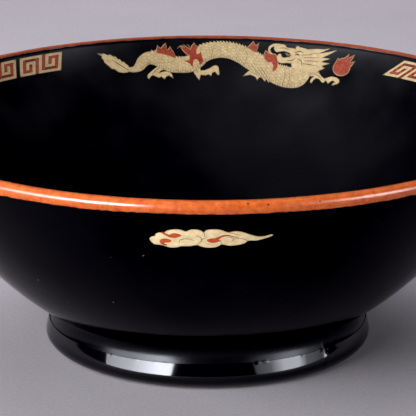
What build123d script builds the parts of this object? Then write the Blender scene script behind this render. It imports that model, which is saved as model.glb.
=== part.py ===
from build123d import *

import os
from math import cos, radians, sin, tan

# A footed noodle bowl in black glazed stoneware.  The bowl and its foot ring are formed apart and
# luted together before glazing, the lip wears a band of orange glaze, and the decoration is a set of
# overglaze transfers: two dragons and two strips of key fret inside, four clouds outside.
#
# Frame: origin on the table at the middle of the foot ring, +Z up, the first dragon on the +Y side.

os.makedirs("parts", exist_ok=True)

# ---- driving dimensions, millimetres and degrees --------------------------------------------------
rim_radius = 105.0            # outside of the glazed lip
bowl_height = 77.8            # table to top of lip
lip_radius = 2.1              # round of the glazed lip, half the wall at the rim
wall_lean = 23.7              # lean of the wall at the rim, from vertical
wall_fullness = 0.262         # how far the wall holds its direction, as a share of its chord
base_inset = 7.5              # from the foot's widest radius in to the end of the outside curve
base_height = 11.0            # of that end, hidden in the foot ring's joint
base_rise = 20.5              # slope of the outside curve there, from horizontal
floor_thickness = 7.0         # at the middle of the bowl
recess_ceiling = 9.4          # underside of the bowl inside the foot ring

rim_glaze = 0.2               # build-up of the orange glaze on the lip
rim_band_drop = 3.8           # lower edge of the orange outside, below the top of the lip
rim_band_angle = 137.0        # where the orange ends inside, round the lip from outside

foot_radius = 53.4            # widest, low on the ring
foot_widest_height = 4.2
foot_band_round = 1.0         # above the widest height, where the lower band starts to lean in
foot_edge_run = 5.9           # from the widest radius in to the unglazed ring that stands on the table
foot_contact_width = 3.9      # of that flat ring
foot_inner_round = 1.6
neck_inset = 1.8              # from the widest radius in to the bottom of the cove under the bowl
neck_height = 11.4
crease_inset = 1.3            # and in to the sharp line between the cove and the lower band
crease_height = 8.8
crease_step = 0.25
cove_overhang = 1.7           # how far the cove flares out from the neck to meet the bowl
joint_depth = 1.2             # how far the ring's blank runs up into the bowl before it is trimmed

gold_thickness = 0.15         # enamel transfer
red_thickness = 0.15          # second colour, printed over the first
clay_overlap = 0.4            # transfer blanks start this far inside the wall and are trimmed to it
transfer_reach = 60.0         # blanks are cut from this distance off the axis out to the rim
transfer_radius = 97.0        # radius on which distances along a transfer are measured
inside_film_depths = (1.45, 17.0)    # wall that transfers may cover, below the top of the lip
outside_film_depths = (8.0, 18.0)

fret_panel_width = 10.0       # degrees of wall
fret_pitch = 10.94            # degrees from panel to panel
fret_panels = 10              # in one strip
fret_start = 144.0            # azimuth of the first panel of a strip, from +Y towards +X
fret_top = 1.9                # below the top of the lip
fret_height = 5.8
fret_columns = 13             # key pattern grid
fret_rows = 7
fret_first_lean = 1.2         # lean of the first panel of a strip, degrees of wall over its height
fret_last_lean = 4.2

cloud_count = 4
cloud_depth = 12.7            # middle of a cloud, below the top of the lip


# ---- lines of the wall, as (radius, height) -------------------------------------------------------
base_radius = foot_radius - base_inset
lip_centre = Vector(rim_radius - lip_radius, bowl_height - lip_radius)
clay_lip_radius = lip_radius - rim_glaze


def round_lip(angle, radius=clay_lip_radius):
    """Point on the round of the lip; 0 degrees faces outwards and 90 degrees upwards."""
    return lip_centre + Vector(cos(radians(angle)), sin(radians(angle))) * radius


wall_down = Vector(-sin(radians(wall_lean)), -cos(radians(wall_lean)))
rim_outside = round_lip(-wall_lean)
rim_inside = round_lip(180 - wall_lean)
base_end = Vector(base_radius, base_height)
base_out = Vector(cos(radians(base_rise)), sin(radians(base_rise)))
pull = wall_fullness * (rim_outside - base_end).length
outside_line = Bezier(rim_outside, rim_outside + wall_down * pull, base_end + base_out * pull, base_end)

floor_height = recess_ceiling + floor_thickness


def offset_point(line, t, distance):
    """Point beside a line that runs downwards, a distance towards the axis."""
    along = line % t
    return (line @ t) + Vector(along.Y, -along.X) * distance


def wall_thickness(t):
    """Wall grows from the lip to the floor."""
    return 2 * clay_lip_radius + (floor_thickness - 2 * clay_lip_radius) * t * t


inside_line = Spline(
    rim_inside,
    *[offset_point(outside_line, t, wall_thickness(t)) for t in (0.25, 0.5, 0.75)],
    Vector(0, floor_height),
    tangents=[wall_down, Vector(-1, 0)],
)


def where(line, measure):
    """Parameter at which a measure of the points of a falling line passes from above nought to below."""
    low, high = 0.0, 1.0
    for _ in range(40):
        middle = (low + high) / 2
        if measure(line @ middle) > 0:
            low = middle
        else:
            high = middle
    return (low + high) / 2


def at_depth(line, depth):
    """Parameter of a wall line at a depth below the top of the lip."""
    return where(line, lambda point: point.Y - (bowl_height - depth))


def at_radius(line, radius):
    return where(line, lambda point: point.X - radius)


# ---- bowl -----------------------------------------------------------------------------------------
knee_run = (base_height - recess_ceiling) / tan(radians(base_rise))
recess_knee = Vector(base_radius - knee_run, recess_ceiling)
recess_flat = Vector(base_radius - 2 * knee_run, recess_ceiling)

with BuildPart() as bowl_body:
    with BuildSketch(Plane.XZ):
        with BuildLine():
            add(outside_line)
            ThreePointArc(rim_outside, round_lip(90), rim_inside)
            add(inside_line)
            Line(inside_line @ 1, (0, recess_ceiling))
            Line((0, recess_ceiling), recess_flat)
            Bezier(recess_flat, recess_knee, base_end)
        make_face()
    revolve(axis=Axis.Z)

# ---- foot ring, luted under the bowl --------------------------------------------------------------
contact_outer = foot_radius - foot_edge_run
contact_inner = contact_outer - foot_contact_width
inner_radius = contact_inner - foot_inner_round
neck_radius = foot_radius - neck_inset
cove_radius = neck_radius + cove_overhang
cove_top = Vector(cove_radius, (outside_line @ at_radius(outside_line, cove_radius)).Y + joint_depth / 4)
neck = Vector(neck_radius, neck_height)
crease = Vector(foot_radius - crease_inset, crease_height)
ledge = crease + Vector(crease_step, 0)
widest = Vector(foot_radius, foot_widest_height)
inner_top = Vector(inner_radius - foot_inner_round / 2, base_height + joint_depth)

with BuildPart() as foot_ring:
    with BuildSketch(Plane.XZ):
        with BuildLine():
            ThreePointArc(cove_top, neck, crease)
            Line(crease, ledge)
            Bezier(ledge, widest + Vector(0, foot_band_round), widest)
            EllipticalCenterArc(
                (contact_outer, foot_widest_height),
                foot_edge_run,
                foot_widest_height,
                start_angle=-90,
                arc_size=90,
            )
            Line((contact_outer, 0), (contact_inner, 0))
            RadiusArc((contact_inner, 0), (inner_radius, foot_inner_round), -foot_inner_round)
            Line((inner_radius, foot_inner_round), inner_top)
            Line(inner_top, cove_top)
        make_face()
    revolve(axis=Axis.Z)
    add(bowl_body.part, mode=Mode.SUBTRACT)

# ---- orange glaze on the lip ----------------------------------------------------------------------
band_end = at_depth(outside_line, rim_band_drop)
band_edge = outside_line @ band_end

with BuildPart() as rim_band:
    with BuildSketch(Plane.XZ):
        with BuildLine():
            ThreePointArc(
                round_lip(-wall_lean, lip_radius),
                round_lip(90, lip_radius),
                round_lip(rim_band_angle, lip_radius),
            )
            Line(round_lip(rim_band_angle, lip_radius), lip_centre)
            Line(lip_centre, offset_point(outside_line, band_end, clay_lip_radius))
            Line(offset_point(outside_line, band_end, clay_lip_radius), band_edge)
            Line(band_edge, offset_point(outside_line, band_end, -rim_glaze / 2))
            Line(offset_point(outside_line, band_end, -rim_glaze / 2), round_lip(-wall_lean, lip_radius))
        make_face()
    revolve(axis=Axis.Z)
    add(bowl_body.part, mode=Mode.SUBTRACT)


# ---- blanks that transfers are cut from -----------------------------------------------------------
def wall_film(line, upper, lower, side, thickness):
    """Thin band all round a wall between two depths, on its inner (+1) or outer (-1) side."""
    first, last = at_depth(line, upper), at_depth(line, lower)
    steps = [first + (last - first) * i / 4 for i in range(5)]
    face_points = [offset_point(line, t, side * thickness) for t in steps]
    clay_points = [offset_point(line, t, -side * clay_overlap) for t in steps]
    with BuildPart() as film:
        with BuildSketch(Plane.XZ):
            with BuildLine():
                Spline(*face_points)
                Line(face_points[-1], clay_points[-1])
                Spline(*clay_points)
                Line(clay_points[0], face_points[0])
            make_face()
        revolve(axis=Axis.Z)
        add(bowl_body.part, mode=Mode.SUBTRACT)
    return film.part


def wall_spot(line, along, depth):
    """Flat position of a point on the wall: distance along the wall and depth below the lip."""
    point = line @ at_depth(line, depth)
    return (point.X * sin(along / transfer_radius), point.Y)


def inside_spots(points):
    return [wall_spot(inside_line, *point) for point in points]


def outside_spots(points):
    return [wall_spot(outside_line, *point) for point in points]


def cut_transfer(film, outlines, side):
    """Piece of a film under closed outlines; each is a list of flat points, smooth or straight."""
    plane = Plane.XZ.offset(-side * transfer_reach)
    with BuildPart() as piece:
        with BuildSketch(plane):
            for smooth, points in outlines:
                with BuildLine():
                    if smooth:
                        Spline(*points, periodic=True)
                    else:
                        Polyline(*points, close=True)
                make_face()
        extrude(amount=-side * (rim_radius - transfer_reach))
        add(film, mode=Mode.INTERSECT)
    return piece.part


full_thickness = gold_thickness + red_thickness
inside_film = wall_film(inside_line, *inside_film_depths, 1, gold_thickness)
inside_film_red = wall_film(inside_line, *inside_film_depths, 1, full_thickness)
outside_film = wall_film(outside_line, *outside_film_depths, -1, gold_thickness)
outside_film_red = wall_film(outside_line, *outside_film_depths, -1, full_thickness)

# ---- dragons, as (distance along the wall, depth below the lip) -----------------------------------
dragon_gold = [
    (True, [  # body, from tail root over two arches to the low loop at the neck, and back
        (-28.5, 8.7), (-25.2, 7.2), (-21.7, 4.6), (-17.7, 4.9), (-11.2, 6.8), (-6.5, 6.5),
        (-3.3, 3.7), (2.2, 2.2), (7.6, 2.2), (13.8, 3.5), (18.7, 5.6), (22.4, 9.6), (27.4, 8.9),
        (33.5, 8.5), (37.1, 11.0), (34.6, 14.7), (31.0, 15.5), (26.5, 14.8), (22.6, 13.0),
        (14.3, 10.0), (7.8, 7.3), (3.8, 6.9), (-1.8, 8.6), (-5.4, 11.1), (-11.1, 11.6),
        (-17.7, 9.2), (-20.2, 8.6), (-24.0, 11.0), (-28.5, 10.6),
    ]),
    (False, [  # tail tuft
        (-27.5, 9.0), (-32.5, 5.2), (-38.8, 4.0), (-35.5, 8.1), (-32.1, 10.4), (-27.5, 10.8),
    ]),
    (False, [  # head looking back, with the mane streaming behind it
        (21.4, 4.6), (23.4, 2.3), (30.8, 2.6), (35.9, 3.0), (45.0, 2.4), (41.5, 4.6), (43.3, 5.4),
        (41.5, 6.2), (43.4, 6.9), (40.4, 9.8), (37.0, 11.2), (32.5, 10.4), (29.8, 7.9),
        (25.4, 7.9), (24.5, 6.2),
    ]),
    (False, [  # hind leg and claws
        (-16.5, 8.8), (-21.8, 11.9), (-21.4, 13.2), (-18.6, 12.2), (-15.7, 13.6), (-12.4, 13.5),
        (-13.0, 11.0),
    ]),
    (False, [  # other hind leg
        (-5.3, 7.5), (-4.9, 11.8), (-3.0, 14.0), (-2.3, 12.4), (1.3, 12.8), (4.2, 12.4), (3.8, 9.5),
        (-2.5, 11.0), (-3.0, 7.5),
    ]),
    (False, [  # foreleg under the chest
        (16.6, 10.0), (12.8, 12.7), (16.4, 12.3), (18.1, 13.8), (22.1, 13.7), (23.5, 12.0),
    ]),
    (False, [  # raised foreleg by the pearl
        (36.5, 10.6), (40.4, 10.0), (43.4, 11.2), (48.3, 11.1), (48.8, 12.2), (46.2, 13.2),
        (41.7, 12.7), (38.3, 13.4), (37.8, 12.6),
    ]),
]
dragon_red = [
    (False, [  # flames on the back
        (-17.6, 5.6), (-17.3, 2.8), (-16.2, 3.7), (-14.5, 2.2), (-14.0, 4.3), (-12.9, 3.3),
        (-11.0, 7.6),
    ]),
    (False, [  # flames round the hip
        (-8.4, 5.6), (-9.6, 3.4), (-7.0, 4.0), (-4.7, 2.4), (-3.6, 3.6), (-4.0, 5.7), (-2.4, 5.1),
        (-1.6, 8.1), (-2.8, 9.4), (-5.3, 10.0),
    ]),
    (False, [  # flame on the shoulder
        (13.4, 4.4), (15.6, 1.8), (17.5, 2.2), (16.7, 5.8),
    ]),
    (True, [  # breath
        (23.4, 10.8), (24.6, 9.4), (24.4, 7.0), (22.1, 5.2), (20.0, 5.0), (20.2, 7.0), (23.0, 8.2),
    ]),
]
pearl_flames = [
    (False, [  # flames
        (45.9, 7.6), (46.4, 4.8), (47.8, 5.0), (50.1, 3.0), (50.2, 4.6), (52.3, 3.1), (51.6, 5.4),
        (52.8, 5.2), (51.0, 7.8),
    ]),
    (True, [  # ball
        (45.6, 7.7), (48.3, 5.4), (51.1, 7.5), (48.7, 9.9),
    ]),
]


def inside_outlines(shapes):
    return [(smooth, inside_spots(points)) for smooth, points in shapes]


dragon_blank = cut_transfer(inside_film, inside_outlines(dragon_gold), 1)
flame_blank = cut_transfer(inside_film_red, inside_outlines(dragon_red), 1)
pearl_blank = cut_transfer(inside_film, inside_outlines(pearl_flames), 1)

with BuildPart() as dragon_gold_front:
    add(dragon_blank)

with BuildPart() as dragon_gold_back:
    add(dragon_blank, rotation=(0, 0, 180))

with BuildPart() as dragon_flames_front:
    add(flame_blank)
    add(dragon_blank, mode=Mode.SUBTRACT)

with BuildPart() as dragon_flames_back:
    add(dragon_flames_front.part, rotation=(0, 0, 180))

with BuildPart() as pearl_front:
    add(pearl_blank)

with BuildPart() as pearl_back:
    add(pearl_blank, rotation=(0, 0, 180))

# ---- key fret -------------------------------------------------------------------------------------
# Each panel holds two square spirals, one the other turned half round.  Corners of one spiral's
# stroke centre line, in grid columns and rows from the panel's top left corner:
spiral = [(5.5, 7), (5.5, 1.5), (1.5, 1.5), (1.5, 5.5), (3.5, 5.5), (3.5, 3)]
turned_spiral = [(fret_columns - column, fret_rows - row) for column, row in spiral]


def panel_spot(column, row, lean):
    """Flat position of a grid corner of a leaning panel centred on +Y."""
    swing = (column / fret_columns - 0.5) * fret_panel_width + (0.5 - row / fret_rows) * lean
    depth = fret_top + fret_height * row / fret_rows
    return wall_spot(inside_line, radians(swing) * transfer_radius, depth)


def lean_of(index):
    """Lean of a panel, which grows towards the end of a strip."""
    return fret_first_lean + (fret_last_lean - fret_first_lean) * (index / (fret_panels - 1)) ** 2


def stroke(start, end):
    """Corners of a stroke one grid unit wide between two corners of a spiral."""
    half = 0.5
    low_column, high_column = min(start[0], end[0]) - half, max(start[0], end[0]) + half
    low_row, high_row = min(start[1], end[1]) - half, max(start[1], end[1]) + half
    low_row, high_row = max(low_row, 0), min(high_row, fret_rows)
    return [
        (low_column, low_row), (high_column, low_row), (high_column, high_row), (low_column, high_row),
    ]


def panel_outlines(shapes, lean):
    return [(False, [panel_spot(*corner, lean) for corner in shape]) for shape in shapes]


panel_shape = [(0, 0), (fret_columns, 0), (fret_columns, fret_rows), (0, fret_rows)]
stroke_shapes = [stroke(*ends) for path in (spiral, turned_spiral) for ends in zip(path, path[1:])]

with BuildPart() as fret_panels_gold:
    for index in range(fret_panels):
        panel = cut_transfer(inside_film, panel_outlines([panel_shape], lean_of(index)), 1)
        for turn in (0, 180):
            add(panel, rotation=(0, 0, fret_pitch * index - fret_start + turn))

with BuildPart() as fret_lines_red:
    for index in range(fret_panels):
        lines = cut_transfer(inside_film_red, panel_outlines(stroke_shapes, lean_of(index)), 1)
        for turn in (0, 180):
            add(lines, rotation=(0, 0, fret_pitch * index - fret_start + turn))
    add(fret_panels_gold.part, mode=Mode.SUBTRACT)

# ---- clouds ---------------------------------------------------------------------------------------
# Positions are (distance along the wall, depth from the middle of the cloud).
cloud_puffs = [(-14.5, 0.4, 2.0), (-10.0, -0.4, 2.4), (-4.6, 0.1, 2.8), (0.8, -0.4, 2.4)]
cloud_tail = [(-10.0, 2.4), (-4.6, 2.7), (3.5, 2.6), (7.5, 1.4), (19.3, -0.6), (9.0, -1.6), (0.8, -2.6)]
cloud_curls = [
    [(-13.0, 0.6), (-12.0, -0.9), (-10.6, 0.2), (-11.6, 1.0)],
    [(-8.6, -1.0), (-6.4, -2.0), (-5.4, -0.4), (-7.0, 0.2)],
    [(-0.4, 0.8), (1.6, -0.9), (9.0, 0.4), (3.4, 1.6)],
]


def circle_points(along, depth, radius):
    return [
        (along + radius * cos(radians(angle)), depth + radius * sin(radians(angle)))
        for angle in range(0, 360, 45)
    ]


def cloud_outlines(shapes, smooth):
    placed = [[(along, cloud_depth + depth) for along, depth in shape] for shape in shapes]
    return [(smooth, outside_spots(points)) for points in placed]


puff_outlines = cloud_outlines([circle_points(*puff) for puff in cloud_puffs], True)
tail_outline = cloud_outlines([cloud_tail], False)
cloud_blank = cut_transfer(outside_film, puff_outlines + tail_outline, -1)
curl_blank = cut_transfer(outside_film_red, cloud_outlines(cloud_curls, True), -1)
cloud_turns = [360 / cloud_count * i for i in range(cloud_count)]

with BuildPart() as clouds_gold:
    for turn in cloud_turns:
        add(cloud_blank, rotation=(0, 0, turn))

with BuildPart() as cloud_curls_red:
    for turn in cloud_turns:
        add(curl_blank, rotation=(0, 0, turn))
    add(clouds_gold.part, mode=Mode.SUBTRACT)

# ---- pieces ---------------------------------------------------------------------------------------
pieces = {
    "bowl_body": bowl_body,
    "foot_ring": foot_ring,
    "rim_band": rim_band,
    "dragon_gold_front": dragon_gold_front,
    "dragon_gold_back": dragon_gold_back,
    "dragon_flames_front": dragon_flames_front,
    "dragon_flames_back": dragon_flames_back,
    "pearl_front": pearl_front,
    "pearl_back": pearl_back,
    "fret_panels_gold": fret_panels_gold,
    "fret_lines_red": fret_lines_red,
    "clouds_gold": clouds_gold,
    "cloud_curls_red": cloud_curls_red,
}
for name, piece in pieces.items():
    piece.part.label = name
    export_step(piece.part, f"parts/{name}.step")
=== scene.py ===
from math import cos, pi, radians, sin, tan, tau

import bmesh
import bpy
import numpy as np
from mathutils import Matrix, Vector
from mathutils.geometry import delaunay_2d_cdt
from numpy.linalg import norm


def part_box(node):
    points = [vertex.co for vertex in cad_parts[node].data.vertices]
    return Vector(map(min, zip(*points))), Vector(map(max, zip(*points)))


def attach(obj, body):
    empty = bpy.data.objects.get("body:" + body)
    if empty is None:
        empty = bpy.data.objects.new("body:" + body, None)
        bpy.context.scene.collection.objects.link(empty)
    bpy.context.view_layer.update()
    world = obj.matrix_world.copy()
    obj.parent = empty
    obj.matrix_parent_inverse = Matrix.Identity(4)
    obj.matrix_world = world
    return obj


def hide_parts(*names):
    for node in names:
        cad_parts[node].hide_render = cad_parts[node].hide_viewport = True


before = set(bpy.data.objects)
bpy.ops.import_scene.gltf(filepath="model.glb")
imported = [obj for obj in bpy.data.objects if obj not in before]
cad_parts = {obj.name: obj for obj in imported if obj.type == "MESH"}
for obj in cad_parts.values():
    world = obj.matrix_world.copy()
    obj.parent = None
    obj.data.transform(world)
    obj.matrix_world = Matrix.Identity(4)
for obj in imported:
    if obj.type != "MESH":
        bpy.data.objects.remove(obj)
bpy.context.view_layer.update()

# A footed noodle bowl in black glazed stoneware with an orange lip and enamel transfers.
# Profiles and decoration are worked out in millimetres and become metres when a mesh is made.
MM = 0.001

# ---- sizes of the frame ----
rim_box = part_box("rim_band")
foot_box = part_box("foot_ring")
RIM_RADIUS = round(rim_box[1][0] / MM)
HEIGHT = round(rim_box[1][2] / MM, 1)
FOOT_RADIUS = round(foot_box[1][0] / MM, 1)
LIP_RADIUS = 2.1
RIM_GLAZE = 0.2
WALL_LEAN = radians(23.7)
WALL_FULLNESS = 0.262
BASE_RADIUS, BASE_HEIGHT, BASE_RISE = 45.9, 11.0, radians(20.5)
RECESS_CEILING = 9.4
FLOOR_THICKNESS = 7.0
WALL_SHARE = 0.78             # share of the inner wall that follows the outer one
WALL_PULL, FLOOR_PULL = 0.3, 0.55    # ease of the bowl's floor at its two ends, as shares of its radius
BAND_DROP = 4.05              # lower edge of the orange outside, below the top of the lip
BAND_ANGLE = radians(137.0)   # where it ends inside, round the lip from outside
TRANSFER_RADIUS = 97.0        # radius on which distances along a transfer are measured
SIDES = 512                   # segments of a turned mesh


# ---- wall lines, as (radius, height) ----
def polar(angle, radius):
    angle = np.asarray(angle, float)
    return np.stack([np.cos(angle), np.sin(angle)], -1) * radius


def bezier(points, count):
    """Points of a Bezier curve of any degree."""
    t = np.linspace(0, 1, count)[:, None]
    level = [np.asarray(point, float) for point in points]
    while len(level) > 1:
        level = [a * (1 - t) + b * t for a, b in zip(level, level[1:])]
    return level[0]


def run_along(line):
    """Distance run along a line of points."""
    return np.concatenate([[0], np.cumsum(norm(np.diff(line, axis=0), axis=1))])


def curve_between(a, b, c, d, count):
    """Points from b to just before c, on a smooth curve that passes a before them and d after."""
    t = np.linspace(0, 1, count, endpoint=False)[:, None]
    return b + t * (c - a) / 2 + t * t * (a - 2.5 * b + 2 * c - d / 2) + t**3 * (1.5 * (b - c) + (d - a) / 2)


def smooth_path(points, step):
    """Dense points on a smooth curve through a few points with any number of columns."""
    points = np.asarray(points, float)
    ends = [2 * points[0] - points[1], *points, 2 * points[-1] - points[-2]]
    pieces = []
    for a, b, c, d in zip(ends, ends[1:], ends[2:], ends[3:]):
        count = max(2, int(norm((c - b)[:2]) / step) + 1)
        pieces.append(curve_between(a, b, c, d, count))
    return np.vstack([*pieces, points[-1:]])


def normals_of(line):
    """Unit normals on the left of a line of points."""
    along = np.gradient(line, axis=0)
    along /= norm(along, axis=1, keepdims=True)
    return np.stack([-along[:, 1], along[:, 0]], -1)


lip_centre = np.array([RIM_RADIUS - LIP_RADIUS, HEIGHT - LIP_RADIUS])
clay_lip = LIP_RADIUS - RIM_GLAZE
rim_outside = lip_centre + polar(-WALL_LEAN, clay_lip)
base_end = np.array([BASE_RADIUS, BASE_HEIGHT])
pull = WALL_FULLNESS * norm(rim_outside - base_end)
wall_down = np.array([-sin(WALL_LEAN), -cos(WALL_LEAN)])
outside_wall = bezier(
    [rim_outside, rim_outside + wall_down * pull, base_end + polar(BASE_RISE, pull), base_end], 161
)


def inside_curve():
    """Inner wall: the outer one moved in by a wall that thickens downwards, run out to a flat floor."""
    t = np.linspace(0, 1, len(outside_wall))
    thickness = 2 * clay_lip + (FLOOR_THICKNESS - 2 * clay_lip) * t * t
    moved = outside_wall - normals_of(outside_wall) * thickness[:, None]
    upper = moved[: int(WALL_SHARE * len(moved))]
    floor = np.array([0.0, RECESS_CEILING + FLOOR_THICKNESS])
    heading = upper[-1] - upper[-2]
    heading /= norm(heading)
    run = upper[-1][0]
    ease_in, ease_out = upper[-1] + heading * run * WALL_PULL, floor + [run * FLOOR_PULL, 0]
    lower = bezier([upper[-1], ease_in, ease_out, floor], 60)
    return np.vstack([upper, lower[1:]])


inside_wall = inside_curve()

# ---- surface maps ----
outside_normals = normals_of(outside_wall)          # point away from the axis
inside_normals = -normals_of(inside_wall)           # point towards the axis


def wall_at(depth, inside):
    """Radius, height and normal of a wall at depths below the top of the lip."""
    line, normals = (inside_wall, inside_normals) if inside else (outside_wall, outside_normals)
    height = HEIGHT - np.asarray(depth, float)
    order = np.argsort(line[:, 1], kind="stable")
    columns = [np.interp(height, line[order, 1], values[order]) for values in (line[:, 0], *normals.T)]
    return columns[0], height, columns[1], columns[2]


def on_wall(along, depth, lift, inside, turn):
    """Points on a wall, lifted off it: along it in mm from +Y (inside) or -Y (outside) towards +X."""
    radius, height, out, up = wall_at(depth, inside)
    radius, height = radius + out * lift, height + up * lift
    swing = np.asarray(along, float) / TRANSFER_RADIUS
    x, y = radius * np.sin(swing), radius * np.cos(swing) * (1 if inside else -1)
    c, s = cos(turn), sin(turn)
    return np.stack([x * c - y * s, x * s + y * c, height], -1)


def wave(angle, level, counts, sizes, seed):
    """Smooth seeded unevenness round the bowl: a sum of a few harmonics that drift with level."""
    draw = np.random.default_rng(seed)
    total = np.zeros(np.broadcast(angle, level).shape)
    for count, size in zip(counts, sizes):
        phase, drift = draw.uniform(0, tau), draw.uniform(-0.12, 0.12)
        total = total + size * np.sin(count * angle + phase + drift * level)
    return total


# ---- mesh makers ----
def add_object(name, data):
    made = bpy.data.objects.new(name, data)
    bpy.context.scene.collection.objects.link(made)
    return made


def make_object(name, points, faces, materials, slots=None, uv=None, edge=None, sharp=40):
    """Mesh object in metres, with smooth shading broken at sharp edges."""
    mesh = bpy.data.meshes.new(name)
    mesh.from_pydata((np.asarray(points) * MM).tolist(), [], faces)
    if uv is not None:
        layer = mesh.uv_layers.new(name="surface")
        loops = np.zeros(len(mesh.loops), int)
        mesh.loops.foreach_get("vertex_index", loops)
        layer.data.foreach_set("uv", np.asarray(uv, float)[loops].ravel())
    if edge is not None:
        mesh.attributes.new("edge", "FLOAT", "POINT").data.foreach_set("value", np.asarray(edge, float))
    for material in materials:
        mesh.materials.append(material)
    if slots is not None:
        mesh.polygons.foreach_set("material_index", np.asarray(slots, int))
    mesh.polygons.foreach_set("use_smooth", [True] * len(mesh.polygons))
    face_outwards(mesh)
    mesh.set_sharp_from_angle(angle=radians(sharp))
    return add_object(name, mesh)


def face_outwards(mesh, join=False):
    """Winds the faces of each closed shell so that they look outwards, after joining points if asked."""
    shell = bmesh.new()
    shell.from_mesh(mesh)
    if join:
        bmesh.ops.remove_doubles(shell, verts=shell.verts, dist=1e-6)
        bmesh.ops.dissolve_degenerate(shell, edges=shell.edges, dist=1e-7)
    bmesh.ops.recalc_face_normals(shell, faces=shell.faces)
    shell.to_mesh(mesh)
    shell.free()
    mesh.update()


def turned(name, profile, materials, push, slot_of, closed=False):
    """Profile of (radius, height), clay on its right, turned round the axis; push moves points outwards."""
    profile = np.asarray(profile, float)
    count = len(profile)
    angle = np.arange(SIDES) / SIDES * tau
    grid = profile + normals_of(profile) * push(angle[:, None], profile)[..., None]
    radius = np.where(profile[None, :, 0] < 1e-6, 0, grid[..., 0])
    points = np.stack([radius * np.cos(angle)[:, None], radius * np.sin(angle)[:, None], grid[..., 1]], -1)
    faces, slots = [], []
    steps = count if closed else count - 1
    for i in range(SIDES):
        j = (i + 1) % SIDES
        for k in range(steps):
            n = (k + 1) % count
            faces.append((i * count + k, j * count + k, j * count + n, i * count + n))
            slots.append(slot_of(profile[k], profile[n]))
    piece = make_object(name, points.reshape(-1, 3), faces, materials, slots)
    face_outwards(piece.data, join=True)    # joins the points on the axis
    return piece


class Transfer:
    """Enamel relief drawn on a flat of (distance along the wall, depth), then laid on the wall."""

    sunk = -0.06    # the underside lies this far inside the glaze

    def __init__(self):
        self.flat, self.lift, self.uv, self.edge = [], [], [], []
        self.faces, self.slots, self.count = [], [], 0

    def add(self, flat, lift, uv, edge, faces, slot):
        """Adds a closed sheet: the drawn face, its underside and the wall round its boundary."""
        flat, n = np.asarray(flat, float), len(flat)
        used = dict.fromkeys(side for face in faces for side in zip(face, face[1:] + face[:1]))
        rim = [(a, b) for a, b in used if (b, a) not in used]
        top = [tuple(self.count + i for i in face) for face in faces]
        under = [tuple(self.count + n + i for i in reversed(face)) for face in faces]
        sides = [(self.count + b, self.count + a, self.count + n + a, self.count + n + b) for a, b in rim]
        self.flat += [flat, flat]
        self.lift += [np.asarray(lift, float), np.full(n, self.sunk)]
        self.uv += [np.asarray(uv, float)] * 2
        self.edge += [np.asarray(edge, float), np.zeros(n)]
        self.faces += top + under + sides
        self.slots += [slot] * (len(top) + len(under) + len(sides))
        self.count += 2 * n

    def patch(self, outline, lift, slot=0, smooth=False, step=0.5, crown=0.05):
        """Filled outline, crowned a little towards its middle."""
        outline = np.asarray(outline, float)
        ring = smooth_ring(outline, step) if smooth else resample_ring(outline, step)
        low, high = ring.min(0), ring.max(0)
        xs, ys = np.arange(low[0], high[0], step), np.arange(low[1], high[1], step * 0.87)
        grid = np.array([(x + step / 2 * (j % 2), y) for j, y in enumerate(ys) for x in xs])
        grid = grid[inside_ring(grid, ring)]
        if len(grid):
            grid = grid[distance_to(grid, ring) > step * 0.45]
        every = [Vector(p) for p in np.vstack([ring, grid])] if len(grid) else [Vector(p) for p in ring]
        edges = [(i, (i + 1) % len(ring)) for i in range(len(ring))]
        verts, _, tris, *_ = delaunay_2d_cdt(every, edges, [list(range(len(ring)))], 1, 1e-5)
        verts = np.array([tuple(v) for v in verts])
        depth_in = distance_to(verts, ring)
        height = lift + crown * (1 - np.exp(-depth_in / 0.5))
        self.add(verts, height, verts, depth_in, [tuple(t) for t in tris], slot)

    def ribbon(self, path, lift, slot=0, crown=0.06, columns=7):
        """Band along a smooth path of (along, depth, half width)."""
        line = smooth_path(path, 0.4)
        centre, half = line[:, :2], np.maximum(line[:, 2], 0.015)
        across = normals_of(centre)
        v = np.linspace(-1, 1, columns)
        flat = centre[:, None] + across[:, None] * (half[:, None] * v)[..., None]
        run = run_along(centre)
        rise = crown * np.sqrt(np.maximum(0, 1 - v * v))[None] * np.minimum(1, half / 0.6)[:, None]
        edge = half[:, None] * (1 - np.abs(v))[None]
        uv = np.stack([np.repeat(run[:, None], columns, 1), half[:, None] * v[None]], -1)
        faces = []
        for i in range(len(line) - 1):
            for k in range(columns - 1):
                a = i * columns + k
                faces.append((a, a + columns, a + columns + 1, a + 1))
        flat = flat.reshape(-1, 2)
        self.add(flat, (lift + rise).ravel(), uv.reshape(-1, 2), edge.ravel(), faces, slot)

    def piece(self, name, materials, turns, inside=True):
        """Lays the drawing on the wall, once for each turn about the axis."""
        flat, lift = np.vstack(self.flat), np.concatenate(self.lift)
        points, faces = [], []
        for number, turn in enumerate(turns):
            points.append(on_wall(flat[:, 0], flat[:, 1], lift, inside, turn))
            faces += [tuple(i + number * self.count for i in face) for face in self.faces]
        uv, edge = np.vstack(self.uv), np.concatenate(self.edge)
        times = len(turns)
        return make_object(
            name, np.vstack(points), faces, materials, self.slots * times, np.tile(uv, (times, 1)),
            np.tile(edge, times), sharp=50,
        )


def resample_ring(ring, step):
    """Closed outline with straight sides, in steps no longer than given."""
    points = []
    for a, b in zip(ring, np.roll(ring, -1, 0)):
        count = max(1, int(np.ceil(norm(b - a) / step)))
        points += [a + (b - a) * i / count for i in range(count)]
    return np.array(points)


def smooth_ring(ring, step):
    """Closed outline, smooth through its points."""
    n = len(ring)
    points = []
    for i in range(n):
        a, b, c, d = (ring[(i + k) % n] for k in (-1, 0, 1, 2))
        count = max(2, int(np.ceil(norm(c - b) / step)))
        points.append(curve_between(a, b, c, d, count))
    return np.vstack(points)


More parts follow.
